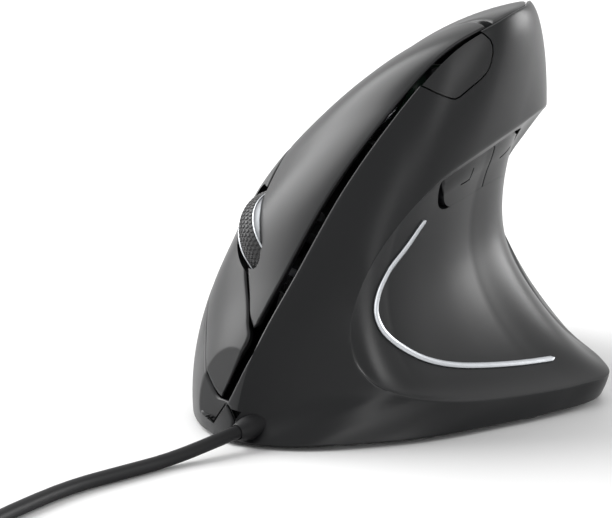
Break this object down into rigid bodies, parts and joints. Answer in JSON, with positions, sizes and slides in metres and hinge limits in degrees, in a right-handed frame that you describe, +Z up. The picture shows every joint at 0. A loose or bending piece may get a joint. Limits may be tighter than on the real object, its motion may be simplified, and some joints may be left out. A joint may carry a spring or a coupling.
{
  "type": "vertical ergonomic mouse",
  "caption": "Upright computer mouse held like a handshake, with a thumb scoop, finger buttons, scroll wheel, thumb keys and a cable with a plug.",
  "frame": {"origin": "middle of the body's footprint, on the desk", "axes": "+X to the thumb side, +Y to the heel of the hand, +Z up; the cable leaves at the nose, -Y"},
  "size_m": [0.0711, 0.2547, 0.0737],
  "materials": {
    "shell_plastic": "fine satin",
    "button_plastic": "fine satin",
    "key_plastic": "smooth",
    "base_plastic": "matte",
    "pad_plastic": "slick",
    "silver_trim": "satin",
    "tyre_rubber": "ribbed",
    "inner_plastic": "moulded",
    "steel": "ground",
    "board": "solder mask",
    "switch_plastic": "moulded",
    "plunger_plastic": "moulded",
    "lens": "clear",
    "lamp": "clear red",
    "socket_plastic": "moulded",
    "cable_jacket": "smooth jacket",
    "plug_steel": "plated",
    "tongue_plastic": "moulded",
    "contact_metal": "plated"
  },
  "bodies": {
    "case": {"base_plate": "base_plastic", "glide_pads": "pad_plastic", "thumb_shell": "shell_plastic", "palm_cover": "shell_plastic", "accent_strip": "silver_trim", "cradle_pin": "steel", "hinge_pin": "steel", "switch_rail": "inner_plastic", "finger_board": "board", "left_switch": "switch_plastic", "right_switch": "switch_plastic", "wheel_switch": "switch_plastic", "side_board": "board", "forward_switch": "switch_plastic", "back_switch": "switch_plastic", "speed_board": "board", "speed_switch": "switch_plastic", "main_board": "board", "sensor_chip": "switch_plastic", "sensor_lens": "lens", "sensor_lamp": "lamp", "cable_socket": "socket_plastic", "case_screws": "steel", "strain_relief": "cable_jacket", "cable_lead": "cable_jacket", "cable_coil": "cable_jacket", "cable_tie": "base_plastic", "plug_grip": "base_plastic", "plug_shell": "plug_steel", "plug_tongue": "tongue_plastic", "plug_contacts": "contact_metal"},
    "left_button": {"left_button": "button_plastic"},
    "right_button": {"right_button": "button_plastic"},
    "cradle": {"wheel_cradle": "inner_plastic", "wheel_encoder": "inner_plastic"},
    "wheel": {"wheel_tyre": "tyre_rubber", "wheel_rims": "silver_trim", "wheel_hub": "inner_plastic", "wheel_axle": "steel"},
    "speed_button": {"speed_button": "button_plastic"},
    "forward_key": {"forward_key": "key_plastic"},
    "back_key": {"back_key": "key_plastic"},
    "left_plunger": {"left_plunger": "plunger_plastic"},
    "right_plunger": {"right_plunger": "plunger_plastic"},
    "wheel_plunger": {"wheel_plunger": "plunger_plastic"},
    "forward_plunger": {"forward_plunger": "plunger_plastic"},
    "back_plunger": {"back_plunger": "plunger_plastic"},
    "speed_plunger": {"speed_plunger": "plunger_plastic"}
  },
  "joints": [
    {"name": "left_click", "type": "hinge", "parent": "case", "child": "left_button", "pos_m": [-0.01048, 0.0016, 0.0468], "axis": [0.6916, -0.3258, 0.6447], "range_deg": [0, 0.9], "stiffness_Nm_per_rad": 1, "springref_deg": -0.57},
    {"name": "right_click", "type": "hinge", "parent": "case", "child": "right_button", "pos_m": [-0.01048, 0.0016, 0.0468], "axis": [0.6916, -0.3258, 0.6447], "range_deg": [0, 0.9], "stiffness_Nm_per_rad": 1, "springref_deg": -0.57},
    {"name": "wheel_press", "type": "hinge", "parent": "case", "child": "cradle", "pos_m": [-0.01371, -0.01532, 0.04171], "axis": [0.6916, -0.3258, 0.6447], "range_deg": [0, 1.6], "stiffness_Nm_per_rad": 1.5, "springref_deg": -0.57},
    {"name": "wheel_spin", "type": "hinge", "parent": "cradle", "child": "wheel", "pos_m": [-0.01337, -0.03408, 0.03187], "axis": [0.6916, -0.3258, 0.6447], "continuous": true},
    {"name": "speed_press", "type": "slide", "parent": "case", "child": "speed_button", "axis": [-0.6052, 0.7921, -0.0792], "range_m": [0, 0.0005], "stiffness_N_per_m": 900, "springref_m": -0.0003},
    {"name": "forward_press", "type": "slide", "parent": "case", "child": "forward_key", "axis": [-0.8955, 0.1103, 0.4311], "range_m": [0, 0.0005], "stiffness_N_per_m": 900, "springref_m": -0.0003},
    {"name": "back_press", "type": "slide", "parent": "case", "child": "back_key", "axis": [-0.8955, 0.1103, 0.4311], "range_m": [0, 0.0005], "stiffness_N_per_m": 900, "springref_m": -0.0003},
    {"name": "left_plunge", "type": "slide", "parent": "case", "child": "left_plunger", "axis": [0.7137, 0.4457, -0.5404], "range_m": [0, 0.0006]},
    {"name": "right_plunge", "type": "slide", "parent": "case", "child": "right_plunger", "axis": [0.7137, 0.4457, -0.5404], "range_m": [0, 0.0007]},
    {"name": "wheel_plunge", "type": "slide", "parent": "case", "child": "wheel_plunger", "axis": [0.7137, 0.4457, -0.5404], "range_m": [0, 0.0003]},
    {"name": "speed_plunge", "type": "slide", "parent": "case", "child": "speed_plunger", "axis": [-0.6052, 0.7921, -0.0792], "range_m": [0, 0.0006]},
    {"name": "forward_plunge", "type": "slide", "parent": "case", "child": "forward_plunger", "axis": [-0.8955, 0.1103, 0.4311], "range_m": [0, 0.0006]},
    {"name": "back_plunge", "type": "slide", "parent": "case", "child": "back_plunger", "axis": [-0.8955, 0.1103, 0.4311], "range_m": [0, 0.0006]}
  ],
  "couplings": [
    {"joint": "left_plunge", "follows": "left_click", "m_per_rad": 0.028338},
    {"joint": "right_plunge", "follows": "right_click", "m_per_rad": 0.037082},
    {"joint": "wheel_plunge", "follows": "wheel_press", "m_per_rad": 0.006},
    {"joint": "speed_plunge", "follows": "speed_press", "ratio": 1},
    {"joint": "forward_plunge", "follows": "forward_press", "ratio": 1},
    {"joint": "back_plunge", "follows": "back_press", "ratio": 1}
  ]
}
